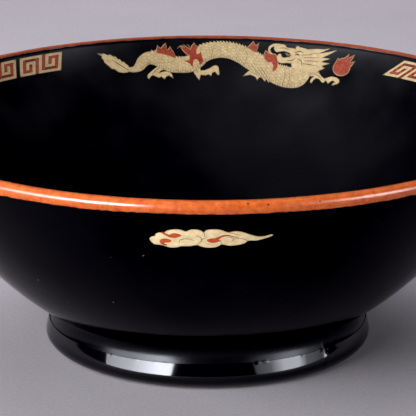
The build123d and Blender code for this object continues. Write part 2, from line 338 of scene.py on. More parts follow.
def inside_ring(points, ring):
    """Which points lie inside a closed outline."""
    x, y = points[:, 0], points[:, 1]
    within = np.zeros(len(points), bool)
    for a, b in zip(ring, np.roll(ring, -1, 0)):
        crosses = (a[1] > y) != (b[1] > y)
        with np.errstate(divide="ignore", invalid="ignore"):
            at = (b[0] - a[0]) * (y - a[1]) / (b[1] - a[1]) + a[0]
        within ^= crosses & (x < at)
    return within


def distance_to(points, ring):
    """Distance from points to a closed outline."""
    best = np.full(len(points), np.inf)
    for a, b in zip(ring, np.roll(ring, -1, 0)):
        side = b - a
        share = np.clip(((points - a) @ side) / max(side @ side, 1e-12), 0, 1)
        best = np.minimum(best, norm(points - (a + share[:, None] * side), axis=1))
    return best


# ---- material helpers ----
class Nodes:
    """Short ways to build a material's node tree."""

    def __init__(self, name):
        self.material = bpy.data.materials.new(name)
        self.material.use_nodes = True
        self.tree = self.material.node_tree
        self.shader = self.tree.nodes["Principled BSDF"]

    def feed(self, socket, value):
        """Sets a socket to a number or a colour, or links the output of another node to it."""
        if isinstance(value, (int, float)):
            socket.default_value = value
        elif isinstance(value, tuple):
            socket.default_value = (*value, 1)
        else:
            self.tree.links.new(value, socket)

    def node(self, kind, inputs=(), **settings):
        """New node with settings, and with inputs as pairs of (name or number, value)."""
        made = self.tree.nodes.new(kind)
        for key, value in settings.items():
            setattr(made, key, value)
        for key, value in inputs:
            self.feed(made.inputs[key], value)
        return made

    def position(self):
        """Object position in metres."""
        return self.node("ShaderNodeTexCoord").outputs["Object"]

    def noise(self, scale, detail=3.0, rough=0.5):
        inputs = ("Scale", scale), ("Detail", detail), ("Roughness", rough), ("Vector", self.position())
        return self.node("ShaderNodeTexNoise", inputs).outputs["Fac"]

    def uneven(self, scale, low, high):
        """Value that wanders between two levels."""
        return self.ramp(self.noise(scale, 3), (0.3, low), (0.7, high))

    def ramp(self, factor, *stops):
        """Colour ramp; each stop is (place, colour or grey)."""
        made = self.node("ShaderNodeValToRGB", [("Fac", factor)])
        elements = made.color_ramp.elements
        while len(elements) < len(stops):
            elements.new(0.5)
        for element, (place, colour) in zip(elements, stops):
            element.position = place
            element.color = (*colour, 1) if isinstance(colour, tuple) else (colour, colour, colour, 1)
        return made.outputs["Color"]

    def math(self, operation, a, b=0.0):
        return self.node("ShaderNodeMath", [(0, a), (1, b)], operation=operation).outputs[0]

    def mix(self, factor, a, b, blend="MIX"):
        made = self.node("ShaderNodeMix", data_type="RGBA", blend_type=blend)
        for name, value in (("Factor", factor), ("A", a), ("B", b)):
            self.feed([s for s in made.inputs if s.name == name and s.enabled][0], value)
        return [s for s in made.outputs if s.name == "Result" and s.enabled][0]

    def specks(self, scale, size, share):
        """1 inside small dots, one in a share of the cells of a scale; 0 elsewhere."""
        inputs = ("Scale", scale), ("Vector", self.position())
        cells = self.node("ShaderNodeTexVoronoi", inputs, feature="F1")
        chance = self.node("ShaderNodeSeparateColor", [(0, cells.outputs["Color"])])
        dot = self.math("LESS_THAN", cells.outputs["Distance"], size)
        return self.math("MULTIPLY", dot, self.math("GREATER_THAN", chance.outputs[0], 1 - share))

    def bump(self, height, strength, distance):
        inputs = ("Strength", strength), ("Distance", distance), ("Height", height)
        self.feed(self.shader.inputs["Normal"], self.node("ShaderNodeBump", inputs).outputs["Normal"])

    def set(self, **values):
        for key, value in values.items():
            self.feed(self.shader.inputs[key.replace("_", " ")], value)
        return self.material


def black_glaze(name, roughness, share, gloss):
    """Deep black glossy glaze with slight orange peel, fine pale specks and uneven sheen."""
    n = Nodes(name)
    tone = n.ramp(n.noise(38, 4), (0.3, (0.0012, 0.0012, 0.0018)), (0.75, (0.0035, 0.0034, 0.0045)))
    speck = n.specks(210, 0.045, share)
    colour = n.mix(speck, tone, (0.18, 0.17, 0.165))
    rough = n.uneven(55, roughness * 0.8, roughness * 1.35)
    peel = n.math("ADD", n.math("MULTIPLY", n.noise(420, 2), 0.35), n.noise(110, 2))
    n.bump(n.math("SUBTRACT", peel, n.math("MULTIPLY", speck, 0.5)), 0.25, 0.00006)
    return n.set(Base_Color=colour, Roughness=rough, IOR=1.46, Specular_IOR_Level=gloss)


def bare_clay():
    """Unglazed standing ring: buff stoneware, sandy and slightly stained."""
    n = Nodes("bare_clay")
    colour = n.ramp(n.noise(160, 6, 0.6), (0.25, (0.16, 0.11, 0.075)), (0.7, (0.36, 0.27, 0.19)))
    n.bump(n.noise(1400, 4), 0.5, 0.0001)
    return n.set(Base_Color=colour, Roughness=n.uneven(300, 0.75, 0.95))


def orange_glaze():
    """Orange iron glaze: mottled, darker where it thins at its edges, with sparse dark pits."""
    n = Nodes("orange_glaze")
    mottle = n.ramp(
        n.noise(480, 5, 0.65),
        (0.25, (0.34, 0.052, 0.01)), (0.5, (0.54, 0.105, 0.018)), (0.8, (0.66, 0.16, 0.034)),
    )
    edge = n.node("ShaderNodeAttribute", attribute_name="edge")
    thin = n.ramp(edge.outputs["Fac"], (0.0, 0.0), (0.35, 1.0))
    colour = n.mix(thin, (0.1, 0.027, 0.02), mottle)
    pit = n.specks(330, 0.1, 0.14)
    colour = n.mix(pit, colour, (0.05, 0.008, 0.004))
    n.bump(n.math("SUBTRACT", n.noise(300, 3), pit), 0.3, 0.00012)
    return n.set(Base_Color=colour, Roughness=n.uneven(90, 0.16, 0.3), IOR=1.5, Specular_IOR_Level=0.3)


def enamel(name, dark, light, scale, roughness, scaled=False, outline=None):
    """Fired enamel: fine mottling, darker printed outline, optional rows of round scales."""
    n = Nodes(name)
    colour = n.ramp(n.noise(scale, 5, 0.62), (0.3, dark), (0.7, light))
    height = n.noise(900, 3)
    if scaled:
        rows = scale_rows(n)
        colour = n.mix(n.math("MULTIPLY", rows, 0.55), colour, tuple(0.42 * c for c in dark))
        height = n.math("SUBTRACT", height, n.math("MULTIPLY", rows, 2.0))
    edge = n.node("ShaderNodeAttribute", attribute_name="edge")
    near = n.ramp(edge.outputs["Fac"], (0.02, 1.0), (0.2, 0.0))
    colour = n.mix(n.math("MULTIPLY", near, 0.8), colour, outline or tuple(0.35 * c for c in dark))
    n.bump(height, 0.35, 0.00005)
    rough = n.uneven(500, roughness, roughness + 0.2)
    return n.set(Base_Color=colour, Roughness=rough, Specular_IOR_Level=0.1)


SCALE_LENGTH, SCALE_WIDTH = 1.25, 1.05    # of a dragon scale, along the body and across it
SCALE_SQUASH = 3.4                        # how much flatter its arc is than a circle
ROWS_AHEAD = 40.0                         # keeps the count of rows above zero


def scale_rows(n):
    """Arcs of overlapping scales, 1 where an arc runs, from the surface map in millimetres."""
    surface = n.node("ShaderNodeUVMap", uv_map="surface").outputs[0]
    split = n.node("ShaderNodeSeparateXYZ", [(0, surface)])
    along = n.math("DIVIDE", split.outputs[0], SCALE_LENGTH)
    across = n.math("DIVIDE", split.outputs[1], SCALE_WIDTH)
    column = n.math("FLOOR", along)
    shift = n.math("MULTIPLY", n.math("MODULO", column, 2.0), 0.5)
    x = n.math("FRACT", along)
    row = n.math("ADD", n.math("ADD", across, shift), ROWS_AHEAD)
    y = n.math("SUBTRACT", n.math("FRACT", row), 0.5)
    wide = n.math("MULTIPLY", n.math("MULTIPLY", y, y), SCALE_SQUASH)
    away = n.math("SQRT", n.math("ADD", n.math("MULTIPLY", x, x), wide))
    return n.ramp(away, (0.62, 0.0), (0.8, 1.0), (0.98, 0.15))


outer_glaze = black_glaze("outer_glaze", 0.12, 0.14, 0.03)
inner_glaze = black_glaze("inner_glaze", 0.3, 0.05, 0.135)
foot_glaze = black_glaze("foot_glaze", 0.06, 0.06, 0.22)
cove_glaze = black_glaze("cove_glaze", 0.19, 0.06, 0.1)
clay = bare_clay()
orange = orange_glaze()
gold = enamel("gold_enamel", (0.35, 0.25, 0.125), (0.52, 0.395, 0.21), 700, 0.42)
gold_scales = enamel("gold_scales", (0.34, 0.245, 0.12), (0.55, 0.415, 0.22), 700, 0.42, scaled=True)
gold_line = enamel("gold_line", (0.1, 0.055, 0.02), (0.17, 0.1, 0.04), 700, 0.5)
soft_line = enamel("soft_line", (0.26, 0.17, 0.08), (0.36, 0.25, 0.12), 700, 0.5)
cream = enamel("cream_enamel", (0.66, 0.5, 0.25), (0.86, 0.7, 0.42), 500, 0.4, outline=(0.42, 0.3, 0.14))
brown_line = enamel("brown_line", (0.2, 0.1, 0.04), (0.32, 0.18, 0.08), 700, 0.5)
red_edge = (0.26, 0.09, 0.035)
red = enamel("red_enamel", (0.13, 0.014, 0.007), (0.32, 0.042, 0.012), 1100, 0.42, outline=red_edge)
fret_red = enamel("fret_red", (0.2, 0.027, 0.013), (0.34, 0.055, 0.02), 900, 0.42)
cloud_red = enamel("cloud_red", (0.4, 0.045, 0.01), (0.6, 0.1, 0.028), 900, 0.42)

# ---- bowl body ----
lip_arc = lip_centre + polar(np.linspace(pi - WALL_LEAN, -WALL_LEAN, 25), clay_lip)
knee_run = (BASE_HEIGHT - RECESS_CEILING) / tan(BASE_RISE)
underside = bezier(
    [base_end, (BASE_RADIUS - knee_run, RECESS_CEILING), (BASE_RADIUS - 2 * knee_run, RECESS_CEILING)], 12
)
recess = np.stack([np.linspace(underside[-1][0], 0, 16)[1:], np.full(15, RECESS_CEILING)], -1)
body_profile = np.vstack([inside_wall[::-1], lip_arc[1:], outside_wall[1:], underside[1:], recess])


def body_push(angle, profile):
    """Faint throwing rings and a little sag left by the wheel and the kiln."""
    height = profile[None, :, 1]
    fade = np.clip((profile[None, :, 0] - 8) / 12, 0, 1)
    return fade * wave(angle, height, (2, 3, 5, 9, 14), (0.05, 0.04, 0.025, 0.012, 0.008), 11)


def side_of_wall(a, b):
    """Slot of a face of the body: 0 on the inner wall, where the profile runs outwards, then 1."""
    return 0 if b[0] > a[0] else 1


body = turned("bowl", body_profile, [inner_glaze, outer_glaze], body_push, side_of_wall)
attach(body, "root")
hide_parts("bowl_body")

# ---- foot ring ----
CONTACT_OUTER, CONTACT_INNER = FOOT_RADIUS - 5.9, FOOT_RADIUS - 9.8
FOOT_INNER, INNER_ROUND = FOOT_RADIUS - 11.4, 1.6
WIDEST_HEIGHT = 4.2
NECK = (FOOT_RADIUS - 2.0, 12.4)
CREASE = (FOOT_RADIUS - 1.3, 8.8)
COVE_TOP = (NECK[0] + 1.7, 14.5)
CREASE_STEP = 0.25            # the lower band stands out this far past the flank above the crease
BAND_ROUND = 1.0              # upright pull on the lower band's curve at the widest height
FOOT_TUCK = (FOOT_INNER - 0.8, 12.2)     # top of the inner side, hidden in the body like COVE_TOP
SEAM_ANGLE = radians(-44.4)   # mould seam, from +X
SEAM_WIDTH, SEAM_LIFT, SEAM_TOP = 0.45, 0.1, 12.5
BEAD_WIDTH, BEAD_LIFT, BEAD_DROP, BEAD_LENGTH = 0.5, 0.22, 2.2, 1.6    # its glaze bead, below the crease
BLISTERS, BLISTER_LIFT = 46, 0.09
CLAY_TOP = 0.35               # faces below this height stand bare


def foot_profile():
    """Ring section from the cove under the bowl down the outside, across the contact ring and up inside."""
    round_in = (FOOT_INNER + INNER_ROUND, INNER_ROUND) + polar(np.linspace(pi, 1.5 * pi, 9), INNER_ROUND)
    quarter = np.linspace(-pi / 2, 0, 25)
    edge_radius = CONTACT_OUTER + (FOOT_RADIUS - CONTACT_OUTER) * np.cos(quarter)
    edge = np.stack([edge_radius, WIDEST_HEIGHT + WIDEST_HEIGHT * np.sin(quarter)], -1)
    ledge = (CREASE[0] + CREASE_STEP, CREASE[1])
    band = bezier([edge[-1], edge[-1] + [0, BAND_ROUND], ledge], 24)
    flank = bezier([CREASE, (NECK[0], (NECK[1] + CREASE[1]) / 2), NECK], 22)
    flare = bezier([NECK, (NECK[0], COVE_TOP[1]), COVE_TOP], 12)
    under = np.stack([np.linspace(CONTACT_INNER, CONTACT_OUTER, 7), np.zeros(7)], -1)
    return np.vstack([FOOT_TUCK, round_in, under[1:-1], edge, band[1:], flank, flare[1:]])[::-1]


def foot_push(angle, profile):
    """Mould seam with its bead of glaze, small blisters along the crease, and a slow wobble."""
    height = profile[None, :, 1]
    outer = (profile[None, :, 0] > CONTACT_OUTER) * np.clip(height / 2, 0, 1)
    push = wave(angle, height, (2, 3, 7, 12), (0.03, 0.03, 0.015, 0.008), 23)
    swing = (angle - SEAM_ANGLE + pi) % tau - pi
    seam = np.exp(-((swing * FOOT_RADIUS / SEAM_WIDTH) ** 2)) * np.clip((SEAM_TOP - height) / 2, 0, 1)
    below = (height - CREASE[1] + BEAD_DROP) / BEAD_LENGTH
    bead = np.exp(-((swing * FOOT_RADIUS / BEAD_WIDTH) ** 2) - below**2)
    push = push + SEAM_LIFT * seam + BEAD_LIFT * bead
    draw = np.random.default_rng(5)
    for at in draw.uniform(0, tau, BLISTERS):
        away = ((angle - at + pi) % tau - pi) * FOOT_RADIUS
        size = draw.uniform(0.3, 0.6)
        spread = (away / size) ** 2 + ((height - CREASE[1] + 0.1) / 0.35) ** 2
        push = push + BLISTER_LIFT * np.exp(-spread)
    return outer * push


def foot_finish(a, b):
    """Slot of a face of the foot: bare clay where it stands, satin in the cove, glossy elsewhere."""
    if max(a[1], b[1]) < CLAY_TOP:
        return 1
    return 2 if min(a[1], b[1]) >= CREASE[1] and max(a[0], b[0]) > CONTACT_OUTER else 0


foot = turned("foot", foot_profile(), [foot_glaze, clay, cove_glaze], foot_push, foot_finish, closed=True)
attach(foot, "root")
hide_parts("foot_ring")


# ---- orange lip ----
INNER_THINNING = 0.14    # share of the outer edge's rate at which the glaze thickens from its inner edge
RIM_SUNK = 0.3           # the skin's underside lies this far inside the clay
RIM_START = 1.2          # the skin's path starts this far below the lower edge of the band
RIM_SHORT = 0.2          # the inner edge stays this far short of the path's end
RIM_EDGE, RIM_ROUND = 0.04, 0.35      # lift of the skin at its edges, and the run over which it thickens
TEETH_LOW, TEETH_HIGH = 0.1, 0.07     # size of the teeth on the outer and on the inner edge


def rim_piece():
    """Skin of orange glaze over the lip, with a wandering, slightly toothed edge."""
    start = np.searchsorted(-outside_wall[:, 1], BAND_DROP + RIM_START - HEIGHT)
    lip = lip_centre + polar(np.linspace(-WALL_LEAN, BAND_ANGLE, 60), clay_lip)
    path = np.vstack([outside_wall[start:0:-1], lip])
    outward = -normals_of(path)
    run = run_along(path)
    edge_run = np.interp(BAND_DROP, (HEIGHT - path[:, 1])[::-1], run[::-1])
    sides, steps = SIDES * 3, 30
    angle = np.arange(sides) / sides * tau
    draw = np.random.default_rng(31)
    teeth = np.convolve(np.tile(draw.normal(0, 1, sides), 3), [0.25, 0.5, 0.25], "same")[sides : 2 * sides]
    low_wave = wave(angle, 0, (3, 7, 17, 61, 173), (0.1, 0.07, 0.05, 0.05, 0.04), 41)
    high_wave = wave(angle, 0, (4, 9, 23, 87), (0.08, 0.06, 0.05, 0.04), 43)
    low = edge_run + low_wave + TEETH_LOW * teeth
    high = run[-1] + high_wave - RIM_SHORT + TEETH_HIGH * teeth
    q = 0.5 - 0.5 * np.cos(np.linspace(0, pi, steps))
    at = low[:, None] + (high - low)[:, None] * q
    from_edge = np.minimum(at - low[:, None], high[:, None] - at)
    lift = RIM_EDGE + RIM_GLAZE * (1 - np.exp(-from_edge / RIM_ROUND))
    lift = lift + wave(angle[:, None], at, (5, 11, 19, 37), (0.014, 0.01, 0.008, 0.005), 47)
    radius, height, out, up = (np.interp(at, run, values) for values in (*path.T, *outward.T))
    skin = np.stack([radius + out * lift, height + up * lift], -1)
    back = np.stack([radius - out * RIM_SUNK, height - up * RIM_SUNK], -1)
    section = np.concatenate([skin, back[:, ::-1]], 1)
    thinning = np.minimum(at - low[:, None], (high[:, None] - at) * INNER_THINNING)
    edge = np.concatenate([thinning, np.zeros_like(thinning)], 1)
    n = section.shape[1]
    c, s = np.cos(angle)[:, None], np.sin(angle)[:, None]
    points = np.stack([section[..., 0] * c, section[..., 0] * s, section[..., 1]], -1).reshape(-1, 3)
    faces = [
        (i * n + k, ((i + 1) % sides) * n + k, ((i + 1) % sides) * n + (k + 1) % n, i * n + (k + 1) % n)
        for i in range(sides)
        for k in range(n)
    ]
    return make_object("orange_lip", points, faces, [orange], edge=edge.ravel(), sharp=60)


rim = rim_piece()
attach(rim, "root")
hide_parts("rim_band")

# ---- dragon, as (distance along the wall, depth below the lip), then half width where there is one ----
# Many points here and in the clouds come from a scratch script that mapped points read off the photo.
GROUND, SECOND, THIRD, TOP = 0.10, 0.14, 0.18, 0.22     # lifts of the printed layers
GOLD_EDGE = 0.2                                         # width of the gold edge round red shapes
RIDGE_STEP, SPINE_STEP = 0.9, 1.15                      # spacing of the belly's lines and the back's spines

BODY = [
    (-28.6, 9.8, 0.7), (-26.4, 9.9, 1.0), (-24.4, 9.0, 1.7), (-22.8, 7.5, 2.0), (-20.9, 6.6, 2.05),
    (-18.4, 6.8, 2.2), (-15.8, 7.9, 2.4), (-12.8, 8.9, 2.5), (-9.6, 9.2, 2.45), (-6.6, 9.1, 2.5),
    (-4.0, 7.6, 2.9), (-1.9, 5.8, 2.9), (0.8, 4.8, 2.75), (4.0, 4.4, 2.55), (7.6, 4.6, 2.6),
    (11.4, 5.7, 2.8), (14.8, 7.2, 3.1), (18.2, 8.9, 3.2), (21.8, 10.4, 2.9), (25.6, 11.7, 3.1),
    (29.4, 12.2, 3.3), (33.2, 11.6, 3.4), (35.0, 9.6, 2.6), (34.0, 7.6, 2.2),
]
TAIL = [
    (-28.2, 8.6), (-29.2, 7.9), (-29.8, 7.1), (-30.3, 7.3), (-31.1, 6.2), (-31.6, 6.4), (-32.5, 5.2),
    (-33.1, 5.4), (-34.3, 4.5), (-35.1, 4.7), (-36.5, 4.0), (-37.1, 4.1), (-38.9, 3.75), (-37.3, 5.0),
    (-37.6, 5.4), (-36.8, 6.3), (-36.9, 6.8), (-35.6, 8.1), (-34.4, 9.2), (-33.4, 9.4), (-32.2, 10.4),
    (-30.4, 10.8), (-28.8, 10.7), (-28.2, 10.2),
]
HIND_LEG = [
    (-14.0, 8.6), (-17.0, 8.9), (-19.3, 10.2), (-21.6, 11.7), (-22.0, 12.6), (-21.4, 13.3), (-20.6, 12.4),
    (-19.8, 12.1), (-18.6, 12.6), (-17.7, 13.0), (-16.8, 12.6), (-15.7, 13.6), (-15.0, 12.7),
    (-14.0, 12.4), (-12.3, 13.5), (-12.9, 12.0), (-13.5, 11.3), (-14.8, 11.0), (-16.4, 11.1),
    (-17.6, 11.5), (-16.9, 10.8), (-15.4, 10.4), (-14.0, 10.9), (-12.0, 10.4),
]
HIP_LEG = [
    (-5.4, 6.8), (-5.2, 9.6), (-5.0, 11.7), (-4.2, 12.8), (-3.0, 14.1), (-2.5, 12.4), (-0.8, 12.6),
    (0.4, 12.2), (1.2, 12.9), (1.7, 11.7), (2.7, 11.4), (3.6, 12.5), (4.3, 12.3), (3.9, 9.9),
    (3.3, 9.4), (2.2, 9.4), (0.4, 10.4), (-1.0, 10.9), (-2.5, 11.0), (-2.8, 9.2), (-3.1, 7.0),
]
FORELEG = [
    (18.0, 9.6), (16.2, 10.4), (14.4, 11.1), (12.6, 12.7), (15.4, 12.1), (17.3, 12.7), (18.1, 13.8),
    (18.7, 12.8), (19.3, 12.8), (20.0, 13.2), (21.0, 14.1),
    (21.3, 13.3), (22.5, 14.4), (22.8, 13.5), (23.8, 14.3), (24.0, 12.4),
]
RAISED_LEG = [
    (35.6, 10.2), (38.1, 9.9), (40.4, 9.9), (41.8, 11.0), (42.9, 11.5), (45.4, 10.6), (47.4, 10.7),
    (48.7, 11.3), (49.1, 12.1), (48.2, 12.8), (46.4, 13.4), (46.3, 12.9), (47.2, 12.2), (46.6, 11.9),
    (45.7, 12.1), (44.7, 13.1), (44.2, 12.5), (43.6, 12.1), (42.9, 13.0), (42.1, 12.7), (41.0, 11.9),
    (39.9, 11.7), (38.9, 12.4), (38.4, 13.5), (37.7, 13.1), (37.9, 12.0), (38.9, 11.2), (36.4, 11.4),
]
SKULL = [
    (28.6, 4.2), (30.6, 3.4), (30.5, 2.3), (31.2, 1.95), (32.2, 2.4), (33.5, 2.5), (36.0, 3.1),
    (38.6, 3.0), (40.4, 4.2), (40.8, 6.2), (41.4, 8.0), (40.2, 9.6), (38.4, 9.8), (37.0, 10.2),
    (35.8, 9.3), (34.6, 9.0), (33.5, 9.9), (32.5, 10.7), (31.2, 9.8), (30.0, 8.8), (29.6, 7.6),
    (28.4, 6.6), (28.9, 5.4),
]
MUZZLE = [
    (23.0, 3.5), (23.2, 2.5), (25.0, 2.1), (26.3, 1.8), (27.5, 2.7), (30.8, 3.1), (31.6, 4.6),
    (29.8, 5.1), (28.6, 4.5), (27.0, 4.1), (25.4, 4.2), (24.0, 4.5),
]
JAW = [
    (24.5, 7.0), (24.2, 6.1), (24.9, 5.0), (25.6, 5.0), (26.2, 5.9), (27.2, 6.1), (28.4, 5.8),
    (30.0, 6.4), (30.2, 7.7), (28.2, 7.75), (25.8, 7.95),
]
NOSE_CURL = [
    (27.0, 2.6, 0.5), (24.8, 2.2, 0.5), (22.7, 2.3, 0.45), (21.5, 3.1, 0.45), (21.4, 4.2, 0.38),
    (22.2, 5.0, 0.28), (22.9, 5.3, 0.15),
]
MANE = [
    [(35.2, 3.6, 0.85), (38.4, 3.2, 0.8), (40.6, 2.7, 0.4), (42.7, 1.9, 0.06)],
    [(35.8, 5.0, 0.95), (39.4, 4.6, 0.85), (42.6, 3.5, 0.5), (45.4, 2.2, 0.06)],
    [(36.0, 6.0, 0.95), (39.4, 5.9, 0.85), (41.6, 5.5, 0.45), (43.5, 5.2, 0.06)],
    [(36.0, 7.0, 0.95), (39.0, 7.2, 0.9), (41.6, 7.0, 0.5), (43.7, 6.7, 0.06)],
    [(35.4, 8.0, 0.95), (38.2, 8.5, 0.95), (40.6, 8.6, 0.55), (42.3, 8.2, 0.06)],
    [(34.4, 8.4, 0.85), (36.6, 9.4, 0.85), (38.8, 9.8, 0.5), (40.6, 9.8, 0.06)],
    [(31.6, 4.0, 0.85), (34.6, 4.2, 0.85), (37.2, 4.0, 0.4), (39.4, 4.0, 0.06)],
    [(31.4, 7.4, 0.6), (33.6, 8.4, 0.6), (34.6, 9.4, 0.35), (34.2, 10.4, 0.06)],
]
HEAD_LINES = [
    [(30.4, 4.4, 0.08), (32.0, 3.7, 0.16), (33.6, 4.1, 0.06)],  # brow
    [(30.6, 5.0, 0.14), (31.5, 4.75, 0.26), (32.3, 5.1, 0.1)],  # eye
    [(27.2, 4.6, 0.3), (28.2, 5.2, 0.42), (29.2, 5.3, 0.2)],  # gape
    [(28.0, 6.9, 0.08), (29.6, 6.9, 0.14), (31.0, 6.0, 0.06)],  # cheek
    [(31.6, 6.2, 0.06), (33.2, 6.8, 0.13), (33.6, 8.2, 0.06)],
    [(25.0, 3.2, 0.06), (26.6, 3.0, 0.12), (28.4, 3.6, 0.05)],  # nostril fold
    [(34.0, 5.6, 0.05), (36.8, 5.5, 0.1), (39.6, 5.2, 0.04)],
    [(34.2, 6.6, 0.05), (36.8, 6.5, 0.1), (39.8, 6.5, 0.04)],
    [(33.8, 7.6, 0.05), (36.2, 7.7, 0.1), (39.4, 7.9, 0.04)],
    [(33.0, 4.9, 0.05), (35.4, 4.6, 0.1), (38.6, 3.8, 0.04)],
]
LEG_LINES = [    # quill of the tail, then a line down each of three legs
    [(-28.6, 10.0, 0.06), (-31.4, 8.1, 0.14), (-34.0, 6.3, 0.05)],
    [(-16.6, 9.4, 0.04), (-18.6, 10.6, 0.1), (-20.2, 11.8, 0.04)],
    [(-4.2, 8.6, 0.04), (-4.0, 10.4, 0.1), (-3.4, 12.2, 0.04)],
    [(38.4, 10.6, 0.04), (40.6, 11.0, 0.1), (42.4, 12.2, 0.04)],
]
COAT_LINES = [    # fur over the elbow and folds of the breast
    [(15.2, 8.4, 0.03), (17.4, 10.6, 0.1), (20.0, 13.0, 0.05)],
    [(17.0, 8.7, 0.03), (18.9, 10.9, 0.1), (21.3, 13.3, 0.05)],
    [(18.8, 9.2, 0.03), (20.4, 11.2, 0.1), (22.7, 13.6, 0.05)],
    [(27.4, 9.3, 0.04), (28.1, 12.0, 0.1), (27.6, 15.0, 0.04)],
    [(29.4, 10.0, 0.04), (30.0, 12.4, 0.1), (29.6, 15.3, 0.04)],
    [(0.6, 2.4, 0.03), (1.6, 4.6, 0.08), (1.2, 7.0, 0.03)],
    [(12.6, 3.7, 0.03), (13.8, 6.0, 0.08), (12.9, 8.8, 0.03)],
]
FLAMES = [
    [  # on the back behind the hip
        (-17.9, 5.0), (-17.6, 3.9), (-17.3, 2.6), (-16.7, 3.5), (-16.1, 3.6), (-15.3, 2.8), (-14.5, 2.0),
        (-14.3, 3.2), (-14.2, 4.4), (-13.5, 4.0), (-12.9, 3.1), (-12.6, 4.2), (-11.9, 5.0), (-11.1, 7.0),
        (-13.0, 6.3), (-15.6, 5.5),
    ],
    [  # round the hip
        (-8.6, 4.4), (-9.4, 3.2), (-7.9, 3.6), (-8.4, 2.6), (-6.9, 3.7), (-5.9, 4.3), (-5.5, 3.2),
        (-4.7, 2.1), (-4.2, 3.0), (-3.5, 3.3), (-3.9, 4.6), (-3.9, 5.8), (-3.0, 5.6), (-2.5, 4.8),
        (-2.0, 6.4), (-1.5, 8.1), (-2.1, 8.9), (-2.8, 9.4), (-3.2, 8.2), (-3.7, 7.5), (-4.9, 7.6),
        (-5.2, 9.0), (-5.3, 10.1), (-6.4, 8.8), (-8.3, 7.8), (-6.5, 7.7), (-6.2, 6.3), (-7.4, 5.6),
    ],
    [  # on the shoulder
        (13.6, 3.4), (14.7, 2.6), (15.6, 1.3), (16.0, 2.2), (16.6, 2.7), (17.6, 1.9), (17.2, 3.4),
        (16.8, 5.0), (15.8, 4.6),
    ],
    [  # breath
        (23.4, 10.9), (24.5, 10.2), (24.9, 9.2), (24.8, 7.6), (24.3, 6.2), (23.6, 5.2), (22.3, 5.3),
        (21.2, 4.9), (20.1, 4.2), (19.7, 5.6), (20.0, 7.0), (21.2, 7.8), (22.6, 7.9), (23.4, 8.8),
        (23.3, 10.0),
    ],
]
WISPS = [
    [(-7.6, 4.0, 0.14), (-9.2, 3.0, 0.12), (-10.6, 3.9, 0.04)],
    [(-5.8, 4.2, 0.1), (-6.2, 3.4, 0.1), (-7.0, 2.6, 0.04)],
]
PEARL_MIDDLE = (48.5, 7.6)
PEARL_RADII = (3.15, 2.4)
PEARL_FLAMES = [
    (46.0, 7.0), (45.9, 5.9), (46.4, 4.7), (47.1, 5.0), (47.8, 4.6), (48.6, 4.5), (49.4, 3.9), (50.2, 2.9),
    (50.1, 4.4), (50.9, 3.9), (52.4, 2.8), (51.6, 4.4), (51.1, 5.6), (52.0, 5.4), (53.0, 4.9),
    (52.0, 6.4), (50.9, 8.0), (48.4, 8.6),
]


def dragon_gold():
    """Gold ground of the dragon: scaled body over legs and tail, then the head, mane and lines."""
    sheet = Transfer()
    for leg in (TAIL, HIND_LEG, HIP_LEG, FORELEG, RAISED_LEG):
        sheet.patch(leg, GROUND, step=0.55)
    sheet.ribbon(BODY, SECOND, slot=1, crown=0.12, columns=13)
    for hair in MANE[:3]:
        sheet.ribbon(hair, THIRD)
    sheet.patch(SKULL, SECOND + 0.09, step=0.5)
    sheet.patch(MUZZLE, THIRD + 0.07, smooth=True)
    sheet.patch(JAW, THIRD + 0.07, smooth=True)
    sheet.ribbon(NOSE_CURL, THIRD)
    for hair in MANE:
        sheet.ribbon(hair, TOP + 0.02)
    for lines, lift, slot in (
        (HEAD_LINES, TOP + 0.1, 2), (LEG_LINES, GROUND + 0.07, 2), (COAT_LINES, THIRD + 0.12, 3)
    ):
        for line in lines:
            sheet.ribbon(line, lift, slot=slot, columns=5)
    belly_ridges(sheet)
    back_spines(sheet)
    return sheet


def belly_ridges(sheet):
    """Short cross lines along the lower side of the body where the belly plates show."""
    line = smooth_path(BODY, RIDGE_STEP)
    across = normals_of(line[:, :2])
    for point, normal in zip(line[6:-6], across[6:-6]):
        x, depth, half = point
        lower = np.array([x, depth]) + normal * half * 0.96
        upper = np.array([x, depth]) + normal * half * 0.5
        middle = (upper + lower) / 2
        sheet.ribbon([(*upper, 0.03), (*middle, 0.07), (*lower, 0.03)], THIRD + 0.06, slot=3, columns=3)


def back_spines(sheet):
    """Small pointed scales that stand out along the upper side of the body."""
    line = smooth_path(BODY, SPINE_STEP)
    across = normals_of(line[:, :2])
    for (x, depth, half), normal in zip(line[10:-10], across[10:-10]):
        along = np.array([normal[1], -normal[0]])
        root = np.array([x, depth]) - normal * half * 0.82
        tip = root - normal * 0.95 - along * 0.75
        sheet.ribbon([(*root, 0.55), (*((root + tip) / 2), 0.34), (*tip, 0.04)], GROUND + 0.02, columns=5)


def grown(outline, by):
    """Closed outline moved outwards."""
    ring = np.asarray(outline, float)
    before, after = ring - np.roll(ring, 1, 0), np.roll(ring, -1, 0) - ring
    heading = before / norm(before, axis=1)[:, None] + after / norm(after, axis=1)[:, None]
    side = np.stack([heading[:, 1], -heading[:, 0]], -1)
    side /= np.maximum(norm(side, axis=1)[:, None], 0.6)    # keeps sharp tips from running away
    turn = (ring[:, 0] * np.roll(ring[:, 1], -1) - np.roll(ring[:, 0], -1) * ring[:, 1]).sum()
    return ring + side * by * np.sign(turn)


def dragon_flames():
    """Red flames over slightly larger gold ones, which show as their thin edges and tips."""
    sheet = Transfer()
    for flame in FLAMES:
        sheet.patch(grown(flame, GOLD_EDGE), THIRD, slot=1, step=0.4)
        sheet.patch(flame, THIRD + 0.08, step=0.4)
    for wisp in WISPS:
        sheet.ribbon(wisp, THIRD, slot=1)
    return sheet


